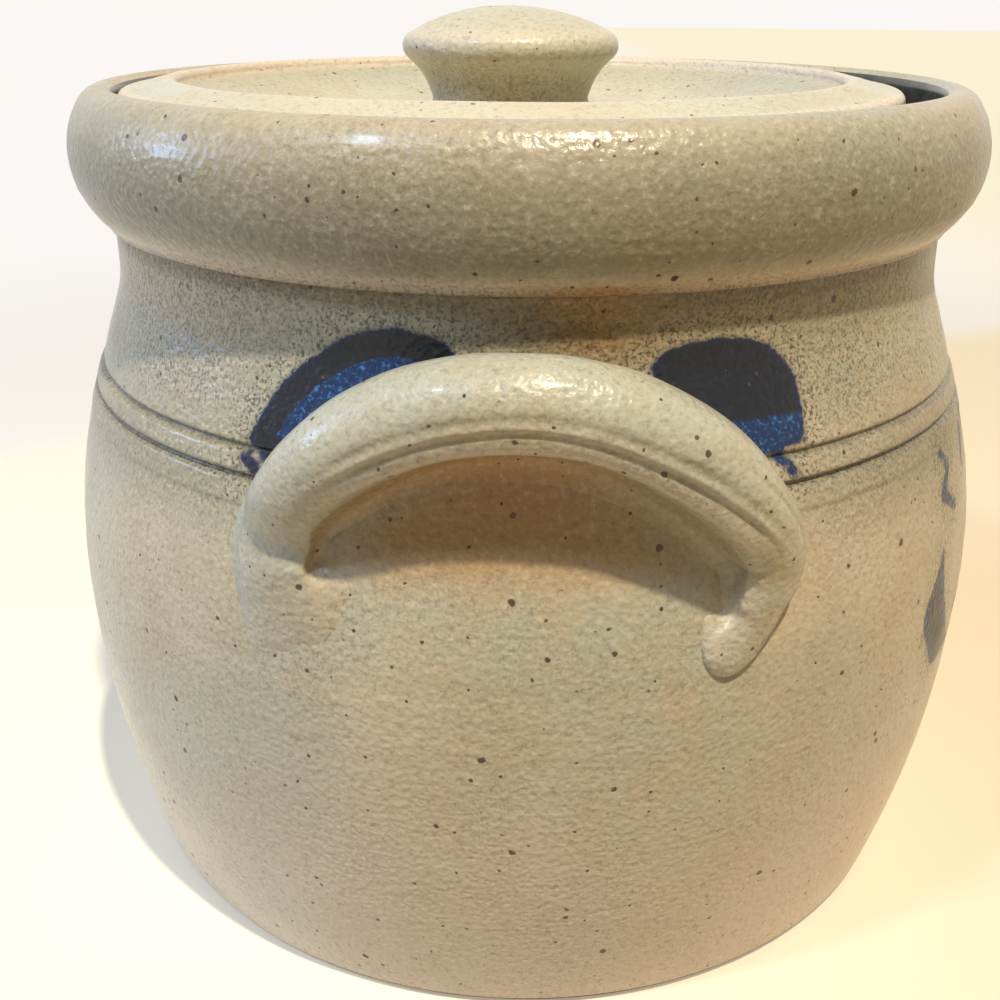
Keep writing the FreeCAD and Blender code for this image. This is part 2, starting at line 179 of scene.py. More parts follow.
# Lines are (radius, height, steps), and arcs (radius, height, bend, side, steps).
POT_SECTION = [
    # the foot
    (79.0, 0.5, 3), (80.0, 0.0, 2), (BELLY_R - 11.2, 0.0, 4),
    (BELLY_R - 9.1, 2.2, 3.4, 1, 6),
    # the belly and the shoulder with its band
    (BELLY_R, BELLY_Z, LOWER_ARC, 1, 54),
    (wall_radius(STEP_FOOT), STEP_FOOT, SHOULDER_ARC, 1, 26),
    (wall_radius(BAND_TOP), BAND_TOP, 52), (NECK_FOOT_R, NECK_FOOT_Z, 10),
    # the neck, up to the crease where the rim was rolled over
    (NECK_R, CREASE_Z - 6.5, 24.0, -1, 9), (NECK_R, CREASE_Z - 0.5, 7),
    (NECK_R - 0.5, CREASE_Z + 0.1, 3), (NECK_R + 0.7, CREASE_Z - 0.3, 3),
    # the rolled rim and its crest
    (NECK_R + 1.25, CREASE_Z + 0.55, 0.7, 1, 4),
    (BELLY_R - 9.7, CREST_Z - 2.27, 16.6, 1, 46), (NECK_R, CREST_Z, 4.84, 1, 9),
    (NECK_R - 2.3, CREST_Z - 2.3, 2.3, 1, 7), (NECK_R - 2.3, LEDGE_Z + 0.5, 4),
    # the ledge that carries the lid
    (NECK_R - 2.8, LEDGE_Z, 0.5, -1, 3), (NECK_R - 10.3, LEDGE_Z, 4),
    (NECK_R - 11.8, LEDGE_Z - 1.5, 1.5, 1, 5), (NECK_R - 11.8, LEDGE_Z - 5.2, 3),
    (NECK_R - 11.2, LEDGE_Z - 6.6, 1.6, 1, 3), (NECK_R - 7.0, LEDGE_Z - 15.0, 5),
    # the inside, down to the floor
    (NECK_R - 7.0, CREASE_Z - 6.5, 4), (NECK_FOOT_R - 6.6, NECK_FOOT_Z - 2.3, 4),
    (SHOULDER_R - 6.6, SHOULDER_Z - 2.3, 6), (BELLY_R - 7.0, BELLY_Z, 111.0, -1, 12),
    (BELLY_R - 11.9, 19.0, 217.0, -1, 12), (BELLY_R - 25.6, FLOOR_Z, 14.0, -1, 8),
    (0.0, FLOOR_Z, 6),
]


def tooled_offset(height):
    """How far the tools left the shoulder proud of its plain curve, or cut into it."""
    low, high = LINE_ZS
    step = STEP_RISE * (smooth_step(height, STEP_Z - 0.7, STEP_Z + 0.5)
                        - smooth_step(height, low - 0.7, low))
    band = BAND_CROWN * smooth_step(height, low, low + 0.8) \
        * (1.0 - smooth_step(height, high - 0.8, high))
    lines = sum(bell(height, line, LINE_WIDTH) for line in LINE_ZS)
    return step + band - LINE_DEPTH * lines


def clear_of_handle(point):
    """1 on the open wall, and 0 where the potter smoothed it under a handle."""
    angle = math.degrees(math.atan2(abs(point.x), abs(point.y)))
    return smooth_step(angle, 22.0, 27.0)


def thrown_offset(point):
    """The slight waviness that hands leave in a wall on the wheel."""
    angle = math.atan2(point.y, point.x)
    out_of_round = 0.11 * math.sin(2 * angle + 0.7) + 0.07 * math.sin(3 * angle + 1.9)
    spiral = point.z + angle * 0.7
    rings = 0.10 * noise.noise(Vector((0.0, 0.0, spiral / 5.0)))
    fine = 0.05 * noise.noise(Vector((7.0, 0.0, spiral / 1.3)))
    under_rim = bell(point.z, CREASE_Z + 4.0, 5.0) + bell(point.z, CREST_Z - 4.0, 3.0)
    dents = 0.16 * noise.noise(point / 22.0)
    return out_of_round + rings + dents + fine * (0.4 + 2.2 * under_rim)


def shape_wall(bm):
    """Add the tool marks and the throwing marks to the outside of the wall."""
    for vertex in bm.verts:
        point = vertex.co / MM
        radius = math.hypot(point.x, point.y)
        if radius < OUTSIDE_R or point.z < 0.05:
            continue
        away = Vector((point.x, point.y, 0.0)) / radius
        shift = thrown_offset(point) * smooth_step(point.z, 0.0, 6.0) \
            * (1.0 - smooth_step(point.z, CREST_Z - 6.0, CREST_Z - 1.0))
        tooled = tooled_offset(point.z) * clear_of_handle(point)
        vertex.co += away * MM * (shift + tooled)


# ------------------------------------------------------------- cobalt brushwork
# Places on the wall are (angle round the pot from the front, height), and a brush
# stroke's places have its half width there as well.

LEFT_DAUB = [(-30.3, 109.7), (-29.0, 113.6), (-27.1, 118.7), (-24.7, 122.2),
             (-19.9, 127.2), (-16.4, 128.9), (-13.1, 129.7), (-8.7, 128.1),
             (-7.0, 126.0), (-8.5, 119.0), (-15.0, 113.0), (-21.0, 106.0), (-26.0, 105.0)]
RIGHT_DAUB = [(13.3, 123.5), (14.9, 126.1), (17.7, 127.1), (21.3, 127.6), (25.0, 126.8),
              (27.6, 125.4), (29.6, 123.0), (30.8, 120.1), (31.2, 116.2), (31.2, 110.0),
              (27.8, 109.4), (23.0, 108.0), (17.0, 113.0)]
DAUB_DROPS = [[(-30.4, 107.2, 0.9), (-28.2, 105.2, 1.1)],
              [(27.4, 108.8, 1.1), (29.2, 105.4, 0.8)]]

SPRIG = [
    [(64, 62, 1.0), (74, 74, 1.5), (84, 84, 1.6), (95, 92, 1.4), (107, 98, 0.9)],
    [(63, 56, 0.8), (57, 60, 4.4), (53.5, 69, 4.8), (55, 80, 0.8)],
    [(70, 68, 0.8), (75, 60, 4.4), (83, 53, 4.2), (91, 50, 0.6)],
    [(80, 80, 0.8), (88, 74, 4.4), (97, 71, 4.2), (105, 71, 0.6)],
    [(78, 80, 0.8), (74, 89, 4.2), (75, 97, 3.6), (79, 104, 0.6)],
    [(91, 89, 0.8), (93, 98, 3.8), (98, 105, 3.2), (104, 110, 0.6)],
    [(104, 96, 0.8), (112, 91, 3.6), (119, 90, 3.2), (126, 92, 0.6)],
    [(108, 99, 0.7), (115, 103, 3.0), (121, 108, 2.4), (125, 113, 0.5)],
    [(60, 87, 1.0), (56, 91, 1.4), (58.5, 95.5, 0.9), (56, 99, 0.8)],
    [(66, 92, 0.9), (67, 97, 1.5), (70, 102, 0.7)],
]

MM_PER_DEGREE = 88.0 * math.pi / 180.0
FAR_OUTSIDE = -9.0
PAINTED_LOW, PAINTED_HIGH, DAUBS_LOW = 45.0, 132.0, 100.0
FLANK_Y = 62.0


def on_sheet(angle, height):
    """A place on the wall as it would be with the wall rolled out flat."""
    return Vector((angle * MM_PER_DEGREE, height))


def stroke_depth(place, stroke):
    """How deep a place lies inside a tapered brush stroke, in mm."""
    deepest = FAR_OUTSIDE
    for (a0, z0, w0), (a1, z1, w1) in zip(stroke, stroke[1:]):
        start, end = on_sheet(a0, z0), on_sheet(a1, z1)
        run = end - start
        share = min(max((place - start).dot(run) / run.length_squared, 0.0), 1.0)
        width = w0 + (w1 - w0) * smooth_step(share, 0.0, 1.0)
        deepest = max(deepest, width - (place - start - run * share).length)
    return deepest


def daub_depth(place, outline):
    """How deep a place lies inside an outline, or how far outside it, below zero."""
    nearest, inside = math.inf, False
    corners = [on_sheet(*corner) for corner in outline]
    for start, end in zip(corners, corners[1:] + corners[:1]):
        run = end - start
        share = min(max((place - start).dot(run) / run.length_squared, 0.0), 1.0)
        nearest = min(nearest, (place - start - run * share).length)
        if (start.y > place.y) != (end.y > place.y):
            if place.x < start.x + run.x * (place.y - start.y) / run.y:
                inside = not inside
    return nearest if inside else -nearest


def run_of_glaze(point):
    """How far the glaze gathered, wore thin and drew up into beads, and where shade and a
    highlight are painted on.
    """
    angle = math.degrees(math.atan2(point.x, abs(point.y)))
    lines = sum(bell(point.z, line, 0.7) for line in LINE_ZS) * clear_of_handle(point)
    neck = smooth_step(point.z, BELLY_Z + 43.0, BELLY_Z + 52.0) \
        * (1.0 - smooth_step(point.z, CREASE_Z - 1.0, CREASE_Z + 4.0))
    # Dark in the crease under the rim: glaze pooled there, and a shadow is painted on as well.
    undercut = bell(point.z, CREASE_Z - 1.6, 1.5)
    shoulder = bell(point.z, BELLY_Z + 37.0, 8.0) * (1.0 - bell(angle, 0.0, 26.0))
    arch = math.hypot(point.x / 37.0, (point.z - BELLY_Z - 18.0) / 34.0)
    # Painted shade: golden brown in the hollow under each handle, stronger towards -X.
    arch_shade = smooth_step(point.z, BELLY_Z + 22.0, BELLY_Z + 34.0) \
        * (1.0 - smooth_step(arch, 0.65, 1.0)) * (1.0 - 0.5 * smooth_step(angle, 0.0, 18.0))
    # Painted shade under the rim's overhang, strongest above each handle.
    under_rim = smooth_step(point.z, CREASE_Z - 17.0, CREASE_Z - 4.0) \
        * (1.0 - smooth_step(point.z, CREASE_Z + 0.5, CREASE_Z + 3.0)) \
        * (0.2 + 0.8 * bell(angle, 7.0, 7.0))
    roll = smooth_step(point.z, CREASE_Z + 1.0, CREASE_Z + 6.0) \
        * (1.0 - 0.6 * smooth_step(point.z, CREST_Z - 10.0, CREST_Z))
    flank = 0.3 * bell(angle, 62.0, 22.0) * bell(point.z, 92.0, 22.0)
    # gathered also carries the painted shade under the rim and in its crease.
    gathered = 0.3 * neck + 0.84 * roll + 0.9 * lines + 0.8 * undercut \
        + 0.5 * under_rim + 0.6 * shoulder + flank
    # thin is high at the rim's lower edge, where glaze thinned and a highlight is painted on,
    # and it rises towards the foot, which is painted paler and pinker.
    thin = 1.2 * bell(point.z, CREASE_Z + 1.3, 1.2) \
        + 1.0 * (1.0 - smooth_step(point.z, 15.0, 80.0))
    beads = 0.55 * neck + 0.5 * lines + 0.35 * shoulder
    return gathered, thin, max(arch_shade, 0.95 * under_rim), beads


def paint(bm):
    """Write how deep each point lies in the cobalt, and how thick it pooled there."""
    depth_of = bm.verts.layers.float.new("cobalt")
    pool_of = bm.verts.layers.float.new("cobalt_pool")
    run_of = bm.verts.layers.float_color.new("glaze_run")
    for vertex in bm.verts:
        point = vertex.co / MM
        vertex[depth_of] = FAR_OUTSIDE
        vertex[run_of] = (0.0, 0.0, 0.0, 0.0)
        if math.hypot(point.x, point.y) < OUTSIDE_R:
            continue
        vertex[run_of] = run_of_glaze(point)
        if not PAINTED_LOW < point.z < PAINTED_HIGH:
            continue
        angle = math.degrees(math.atan2(point.x, -point.y))
        if abs(point.y) < FLANK_Y:
            if point.x > 0.0:
                place = on_sheet(angle, point.z)
                vertex[depth_of] = max(stroke_depth(place, stroke) for stroke in SPRIG)
                vertex[pool_of] = smooth_step(vertex[depth_of], 0.6, 2.6)
            continue
        if point.z < DAUBS_LOW:
            continue
        if point.y > 0.0:
            # The same daubs lie beside the rear handle, half a turn on.
            angle = angle - 180.0 if angle > 0.0 else angle + 180.0
        place = on_sheet(angle, point.z)
        left, right = daub_depth(place, LEFT_DAUB), daub_depth(place, RIGHT_DAUB)
        drops = max(stroke_depth(place, drop) for drop in DAUB_DROPS)
        vertex[depth_of] = max(left, right, drops)
        vertex[pool_of] = (1.0 - smooth_step(left, 3.6, 5.2) if left >= right
                           else smooth_step(point.z, 112.5, 116.5))


# -------------------------------------------------------------------- materials

SOFT = {"interpolation_type": "SMOOTHSTEP"}
COLOURS = {"data_type": "RGBA"}


def add(tree, kind, feeds=None, **settings):
    """A shader node with its settings, and with what feeds each of its sockets.

    A node that feeds a socket does so through its first output in use. A Mix
    node's sockets 6 and 7 are its two colours.
    """
    node = tree.nodes.new(kind)
    for name, value in settings.items():
        setattr(node, name, value)
    for socket, feed in (feeds or {}).items():
        if isinstance(feed, bpy.types.Node):
            feed = next(output for output in feed.outputs if output.enabled)
        if isinstance(feed, bpy.types.NodeSocket):
            tree.links.new(feed, node.inputs[socket])
        else:
            node.inputs[socket].default_value = feed
    return node


def new_material(name):
    material = bpy.data.materials.new(name)
    material.use_nodes = True
    material.node_tree.nodes.clear()
    return material, material.node_tree


def per(size):
    """The texture scale that gives features of a size in mm, read in metres."""
    return 1.0 / (size * MM)


def salt_glaze(name, clay, grey, blush, dots, roughness, cobalt=False):
    """Salt vapour glaze over buff stoneware, fired in a reducing kiln.

    It has the pitted skin of an orange, dark beads of glaze where the salt
    gathered, iron specks burnt through from the clay, and a soft wet gloss.
    The attribute glaze_run says where the glaze gathered, and where shade is
    painted darker under the rim and the knob's domed top (red), where it is thin,
    and where a highlight is painted on the rim's lower edge (green), where shade
    is painted golden brown under the handles and the rim (blue), and where the
    glaze drew up into beads (alpha).
    """
    material, tree = new_material(name)
    place = add(tree, "ShaderNodeTexCoord").outputs["Object"]
    run = add(tree, "ShaderNodeAttribute", attribute_name="glaze_run")
    beaded = run.outputs["Alpha"]
    run = add(tree, "ShaderNodeSeparateColor", {0: run.outputs["Color"]}).outputs

    # Drifts of the kiln's smoke, a hand wide, and flashes of colour, a thumb wide.
    broad = add(tree, "ShaderNodeTexNoise", {"Vector": place, "Scale": per(60.0),
                "Detail": 2.0})
    drift = add(tree, "ShaderNodeMapRange", {"Value": broad, "From Min": 0.38,
                "From Max": 0.62}, **SOFT)
    body = add(tree, "ShaderNodeMix", {0: drift, 6: colour(clay), 7: colour(grey)}, **COLOURS)
    cloud = add(tree, "ShaderNodeTexNoise", {"Vector": place, "Scale": per(15.0),
                "Detail": 4.0, "Roughness": 0.6})
    flash = add(tree, "ShaderNodeMapRange", {"Value": cloud, "From Min": 0.42,
                "From Max": 0.70, "To Max": 0.5}, **SOFT)
    body = add(tree, "ShaderNodeMix", {0: flash, 6: body, 7: colour(blush)}, **COLOURS)

    # Grey where the glaze is thick, and where shade is painted under the rim; pink at a thin
    # edge, and where a highlight is painted on; golden brown where shade is painted under the
    # handles and the rim.
    thick = add(tree, "ShaderNodeMapRange", {"Value": run["Red"], "To Max": 0.8})
    body = add(tree, "ShaderNodeMix", {0: thick, 6: body, 7: colour("#706a52")}, **COLOURS)
    worn = add(tree, "ShaderNodeMapRange", {"Value": run["Green"], "To Max": 0.75})
    body = add(tree, "ShaderNodeMix", {0: worn, 6: body, 7: colour("#e1cdb8")}, **COLOURS)
    painted_shade_gold = add(tree, "ShaderNodeMapRange", {"Value": run["Blue"], "To Max": 0.85})
    body = add(tree, "ShaderNodeMix", {0: painted_shade_gold, 6: body, 7: colour("#b0854a")}, **COLOURS)

    # The fine mottle of the clay's own grains, paler and darker, about 1 mm each.
    fine = add(tree, "ShaderNodeTexNoise", {"Vector": place, "Scale": per(1.25),
               "Detail": 3.0, "Roughness": 0.7})
    pale = add(tree, "ShaderNodeMapRange", {"Value": fine, "From Min": 0.50,
               "From Max": 0.72, "To Max": 0.34}, **SOFT)
    body = add(tree, "ShaderNodeMix", {0: pale, 6: body, 7: colour("#d8ccb2")}, **COLOURS)
    dull = add(tree, "ShaderNodeMapRange", {"Value": fine, "From Min": 0.28,
               "From Max": 0.48, "To Min": 0.38, "To Max": 0.0}, **SOFT)
    body = add(tree, "ShaderNodeMix", {0: dull, 6: body, 7: colour("#6b5f4a")}, **COLOURS)

    # Beads of darker glaze under 1 mm apart, joined up into a broken net.
    wander = add(tree, "ShaderNodeTexNoise", {"Vector": place, "Scale": per(1.8)})
    shaken = add(tree, "ShaderNodeVectorMath", {0: wander.outputs["Color"],
                 1: (0.9 * MM,) * 3}, operation="MULTIPLY")
    shaken = add(tree, "ShaderNodeVectorMath", {0: shaken, 1: place}, operation="ADD")
    beads = add(tree, "ShaderNodeTexNoise", {"Vector": shaken, "Scale": per(0.55),
                "Detail": 1.0})
    bead = add(tree, "ShaderNodeMapRange", {"Value": beads, "From Min": 0.44,
               "From Max": 0.70, "To Max": 0.8}, **SOFT)
    patches = add(tree, "ShaderNodeTexNoise", {"Vector": place, "Scale": per(24.0),
                  "Detail": 3.0, "Roughness": 0.6})
    patch = add(tree, "ShaderNodeMapRange", {"Value": patches, "From Min": 0.40,
                "From Max": 0.64, "To Min": 0.04, "To Max": dots}, **SOFT)
    crowd = add(tree, "ShaderNodeMath", {0: beaded, 1: patch}, operation="ADD",
                use_clamp=True)

    if cobalt:
        # Cobalt oxide brushed on before firing: blue-black pools, and a thin blue
        # wash that the salt broke into speckles. Its edge bled a little.
        depth = add(tree, "ShaderNodeAttribute", attribute_name="cobalt").outputs["Fac"]
        pool = add(tree, "ShaderNodeAttribute", attribute_name="cobalt_pool").outputs["Fac"]
        ragged = add(tree, "ShaderNodeMapRange", {"Value": fine, "From Min": 0.25,
                     "From Max": 0.75, "To Min": -0.35, "To Max": 0.35})
        edge = add(tree, "ShaderNodeMath", {0: depth, 1: ragged}, operation="ADD")
        near = add(tree, "ShaderNodeMapRange", {"Value": depth, "From Min": -6.0,
                   "From Max": -0.5, "To Max": 0.75}, **SOFT)
        crowd = add(tree, "ShaderNodeMath", {0: crowd, 1: near}, operation="ADD",
                    use_clamp=True)

    bead = add(tree, "ShaderNodeMath", {0: bead, 1: crowd}, operation="MULTIPLY")
    body = add(tree, "ShaderNodeMix", {0: bead, 6: body, 7: colour("#37332a")}, **COLOURS)

    if cobalt:
        grit = add(tree, "ShaderNodeTexNoise", {"Vector": place, "Scale": per(0.7),
                   "Detail": 3.0, "Roughness": 0.7})
        broken = add(tree, "ShaderNodeMapRange", {"Value": grit, "From Min": 0.50,
                     "From Max": 0.72}, **SOFT)
        wash = add(tree, "ShaderNodeMix", {0: broken, 6: colour("#0e2750"),
                   7: colour("#3a76b0")}, **COLOURS)
        sheen = add(tree, "ShaderNodeMapRange", {"Value": fine, "From Min": 0.45,
                    "From Max": 0.75}, **SOFT)
        pooled = add(tree, "ShaderNodeMix", {0: sheen, 6: colour("#0f1118"),
                     7: colour("#1b1e28")}, **COLOURS)
        drawn = add(tree, "ShaderNodeMath", {0: ragged, 1: 0.4, 2: pool},
                    operation="MULTIPLY_ADD")
        full = add(tree, "ShaderNodeMapRange", {"Value": drawn, "From Min": 0.35,
                   "From Max": 0.65}, **SOFT)
        ink = add(tree, "ShaderNodeMix", {0: full, 6: wash, 7: pooled}, **COLOURS)
        rim = add(tree, "ShaderNodeMapRange", {"Value": edge, "From Min": 0.2,
                  "From Max": 1.1, "To Min": 0.75, "To Max": 0.0}, **SOFT)
        ink = add(tree, "ShaderNodeMix", {0: rim, 6: ink, 7: colour("#0e1c42")}, **COLOURS)
        bled = add(tree, "ShaderNodeMapRange", {"Value": edge, "From Min": -0.9,
                   "From Max": 0.1, "To Max": 0.4}, **SOFT)
        body = add(tree, "ShaderNodeMix", {0: bled, 6: body, 7: colour("#2a3240")}, **COLOURS)
        inked = add(tree, "ShaderNodeMapRange", {"Value": edge, "From Min": -0.2,
                    "From Max": 0.3}, **SOFT)
        body = add(tree, "ShaderNodeMix", {0: inked, 6: body, 7: ink}, **COLOURS)

    # Iron specks of 0.4 to 1.3 mm, one to every 5.6 mm, and between them freckles
    # under 0.8 mm, one to every second cell of 2.5 mm.
    iron = 0.0
    for apart, least, most in ((5.6, -0.40, 0.115), (2.5, 0.50, 0.15)):
        cell = add(tree, "ShaderNodeTexVoronoi", {"Vector": shaken, "Scale": per(apart)})
        lot = add(tree, "ShaderNodeSeparateColor", {0: cell.outputs["Color"]})
        size = add(tree, "ShaderNodeMapRange", {"Value": lot, "From Min": least,
                   "From Max": 1.0, "To Max": most})
        uneven = add(tree, "ShaderNodeMath", {0: fine, 1: 0.06, 2: cell},
                     operation="MULTIPLY_ADD")
        inside = add(tree, "ShaderNodeMath", {0: size, 1: uneven}, operation="SUBTRACT")
        speck = add(tree, "ShaderNodeMapRange", {"Value": inside, "From Min": -0.045,
                    "From Max": -0.012, "To Max": 0.92}, **SOFT)
        iron = add(tree, "ShaderNodeMath", {0: speck, 1: iron}, operation="MAXIMUM")
    rust = add(tree, "ShaderNodeMix", {0: lot.outputs[1], 6: colour("#2a1c12"),
               7: colour("#5c4023")}, **COLOURS)
    body = add(tree, "ShaderNodeMix", {0: iron, 6: body, 7: rust}, **COLOURS)

    # Orange peel about 1.2 mm across, the wheel's fine rings, and pits at the iron.
    peel = add(tree, "ShaderNodeTexVoronoi", {"Vector": shaken, "Scale": per(1.2),
               "Smoothness": 0.6}, feature="SMOOTH_F1")
    flat = add(tree, "ShaderNodeMapping", {"Vector": place, "Scale": (0.06, 0.06, 1.0)})
    wheel = add(tree, "ShaderNodeTexNoise", {"Vector": flat, "Scale": per(1.1)})
    relief = add(tree, "ShaderNodeMath", {0: fine, 1: 0.7, 2: peel},
                 operation="MULTIPLY_ADD")
    relief = add(tree, "ShaderNodeMath", {0: wheel, 1: 0.3, 2: relief},
                 operation="MULTIPLY_ADD")
    relief = add(tree, "ShaderNodeMath", {0: iron, 1: -0.35, 2: relief},
                 operation="MULTIPLY_ADD")
    bump = add(tree, "ShaderNodeBump", {"Height": relief, "Distance": 0.17 * MM})

    shine = add(tree, "ShaderNodeMapRange", {"Value": cloud, "From Min": 0.3,
                "From Max": 0.7, "To Min": roughness - 0.06, "To Max": roughness + 0.08})
    shader = add(tree, "ShaderNodeBsdfPrincipled", {
        "Base Color": body, "Roughness": shine, "IOR": 1.4, "Coat Weight": 0.12,
        "Coat Roughness": 0.14, "Normal": bump})
    add(tree, "ShaderNodeOutputMaterial", {"Surface": shader})
    return material


def liner_glaze():
    """Slip glaze poured inside before firing: a dark slate brown, evenly glossy."""
    material, tree = new_material("slate_liner_glaze")
    place = add(tree, "ShaderNodeTexCoord").outputs["Object"]
    cloud = add(tree, "ShaderNodeTexNoise", {"Vector": place, "Scale": per(9.0),
                "Detail": 4.0, "Roughness": 0.6})
    blend = add(tree, "ShaderNodeMapRange", {"Value": cloud, "From Min": 0.35,
                "From Max": 0.65}, **SOFT)
    body = add(tree, "ShaderNodeMix", {0: blend, 6: colour("#3b3a33"),
               7: colour("#56554a")}, **COLOURS)
    ripple = add(tree, "ShaderNodeTexNoise", {"Vector": place, "Scale": per(1.5)})
    bump = add(tree, "ShaderNodeBump", {"Height": ripple, "Strength": 0.6,
               "Distance": 0.08 * MM})
    shader = add(tree, "ShaderNodeBsdfPrincipled", {
        "Base Color": body, "Roughness": 0.22, "Normal": bump})
    add(tree, "ShaderNodeOutputMaterial", {"Surface": shader})
    return material


def bare_stoneware():
    """Unglazed vitrified clay under the foot: dry, buff, with a sandy tooth."""
    material, tree = new_material("bare_stoneware_foot")
    place = add(tree, "ShaderNodeTexCoord").outputs["Object"]
    sand = add(tree, "ShaderNodeTexNoise", {"Vector": place, "Scale": per(0.8),
               "Detail": 3.0, "Roughness": 0.7})
    cloud = add(tree, "ShaderNodeTexNoise", {"Vector": place, "Scale": per(20.0)})
    blend = add(tree, "ShaderNodeMapRange", {"Value": cloud, "From Min": 0.4,
                "From Max": 0.6}, **SOFT)
    body = add(tree, "ShaderNodeMix", {0: blend, 6: colour("#8c7a5e"),
               7: colour("#6f5c42")}, **COLOURS)
    grains = add(tree, "ShaderNodeMapRange", {"Value": sand, "From Min": 0.55,
                 "From Max": 0.75}, **SOFT)
    body = add(tree, "ShaderNodeMix", {0: grains, 6: body, 7: colour("#4a3b28")}, **COLOURS)
    bump = add(tree, "ShaderNodeBump", {"Height": sand, "Distance": 0.15 * MM})
    shader = add(tree, "ShaderNodeBsdfPrincipled", {
        "Base Color": body, "Roughness": 0.85, "Normal": bump})
    add(tree, "ShaderNodeOutputMaterial", {"Surface": shader})
    return material


WALL_GLAZE = salt_glaze("salt_glaze_wall", "#c8b89e", "#b3b09a", "#c3a887", 0.26, 0.32,
                        cobalt=True)
LID_GLAZE = salt_glaze("salt_glaze_lid", "#cfc4a8", "#c3c0aa", "#c6b08b", 0.2, 0.36)
HANDLE_GLAZE = salt_glaze("salt_glaze_handle", "#bdb69f", "#aeae9d", "#b9a785", 0.22, 0.31)
LINER_GLAZE = liner_glaze()
BARE_CLAY = bare_stoneware()


# ---------------------------------------------------------------- the thrown pot

WALL_STEPS = 300


def make_wall():
    bm = bmesh.new()
    draw_section(bm, 0.0, 0.5, POT_SECTION)
    turn_on_wheel(bm, 0.0, WALL_STEPS)
    shape_wall(bm)
    paint(bm)
    for face in bm.faces:
        middle = face.calc_center_median() / MM
        radius = math.hypot(middle.x, middle.y)
        if middle.z < FOOT_RING_Z and radius < BELLY_R - 9.0:
            face.material_index = 2
        elif radius < wall_radius(middle.z) - LINER_DEPTH and middle.z > FLOOR_Z / 2.0:
            face.material_index = 1
    finish_piece("thrown_wall", bm, [WALL_GLAZE, LINER_GLAZE, BARE_CLAY], "pot", "pot_body")


# ------------------------------------------------------------ the pulled handles

# The arch leans out over its foot, and its left side stands off a little less.
ARCH_FOOT = Vector((0.0, 14.5 - BELLY_R, BELLY_Z + 19.5))
ARCH_TILT = math.radians(17.5)
ARCH_LEFT, ARCH_RIGHT, ARCH_RISE = 40.7, 39.0, 39.5
LEFT_LEAN = 0.05
ARCH_UP = Vector((0.0, -math.sin(ARCH_TILT), math.cos(ARCH_TILT)))
ARCH_OUT = Vector((0.0, -math.cos(ARCH_TILT), -math.sin(ARCH_TILT)))

# The ends of the strap lie on the wall: across, height, stand off the wall,
# half breadth along the wall, half depth out from it.
LEFT_END = [(-34.8, 77.6, -0.3, 8.2, 0.3), (-36.2, 81.8, -0.2, 8.4, 1.3),
            (-37.6, 86.4, 0.0, 8.2, 2.6), (-38.7, 91.0, 0.2, 8.0, 3.9)]
RIGHT_END = [(38.0, 91.5, 0.3, 7.0, 6.0), (37.3, 87.4, 0.0, 5.7, 4.6),
             (36.4, 83.6, -0.1, 4.6, 3.1), (33.4, 80.0, -0.3, 5.0, 2.1),
             (29.2, 78.3, -0.3, 4.4, 1.4)]
# The arch between them: angle round it, shift across, half breadth, half depth.
ARCH = [(162, 1.2, 8.0, 5.2), (150, 0.0, 7.3, 6.5), (135, 0.0, 7.3, 7.4), (120, 0.0, 7.3, 7.8),
        (105, 0.0, 7.3, 7.8), (90, 0.0, 7.3, 7.8), (75, 0.0, 7.3, 7.8), (60, 0.0, 7.3, 7.8),
        (45, 0.2, 7.3, 7.8), (30, 0.7, 7.3, 7.5), (18, 0.8, 7.2, 6.9)]
RING_POINTS = 144
RINGS_PER_STATION = 9
# Each end narrows to a blunt tip over the first and last of these millimetres.
END_ROUNDING = 3.6
TIP_SHARE = 0.06


def wall_point(across, height):
    radius = wall_radius(height)
    return Vector((across, -math.sqrt(radius ** 2 - across ** 2), height))


def wall_out(across, height):
    """The direction straight out of the wall at a place."""
    slope = (wall_radius(height + 0.5) - wall_radius(height - 0.5))
    point = wall_point(across, height)
    return Vector((point.x, point.y, -slope * math.hypot(point.x, point.y))).normalized()


def stations_on_wall(end):
    stations = []
    for across, height, stand, side, depth in end:
        out = wall_out(across, height)
        stations.append((wall_point(across, height) + out * stand, out, side, depth))
    return stations


def strap_stations():
    """Where the strap runs: centre, way out, half side and half depth at each place."""
    stations = stations_on_wall(LEFT_END)
    for angle, shift, side, depth in ARCH:
        turn = math.radians(angle)
        across = (ARCH_LEFT if angle > 90 else ARCH_RIGHT) * math.cos(turn) + shift
        centre = ARCH_FOOT + Vector((across, 0.0, 0.0)) + ARCH_UP * ARCH_RISE * math.sin(turn)
        centre += ARCH_OUT * LEFT_LEAN * min(across, 0.0)
        share = smooth_step(math.sin(turn), 0.1, 0.9)
        out = wall_out(across, ARCH_FOOT.z).lerp(ARCH_OUT, share).normalized()
        stations.append((centre, out, side, depth))
    return stations + stations_on_wall(RIGHT_END)


def between(values, share):
    """A smooth way through four values in a row, from the second to the third."""
    a, b, c, d = values
    return 0.5 * ((2.0 * b) + (c - a) * share + (2.0 * a - 5.0 * b + 4.0 * c - d) * share ** 2
                  + (3.0 * b - a - 3.0 * c + d) * share ** 3)


def strap_path(stations):
    """The stations joined smoothly, with many more of them."""
    padded = [stations[0]] + stations + [stations[-1]]
    path = []
    for number in range(len(stations) - 1):
        four = padded[number:number + 4]
        for step in range(RINGS_PER_STATION):
            share = step / RINGS_PER_STATION
            path.append(tuple(between([station[part] for station in four], share)
                              for part in range(4)))
    path.append(stations[-1])
    return path


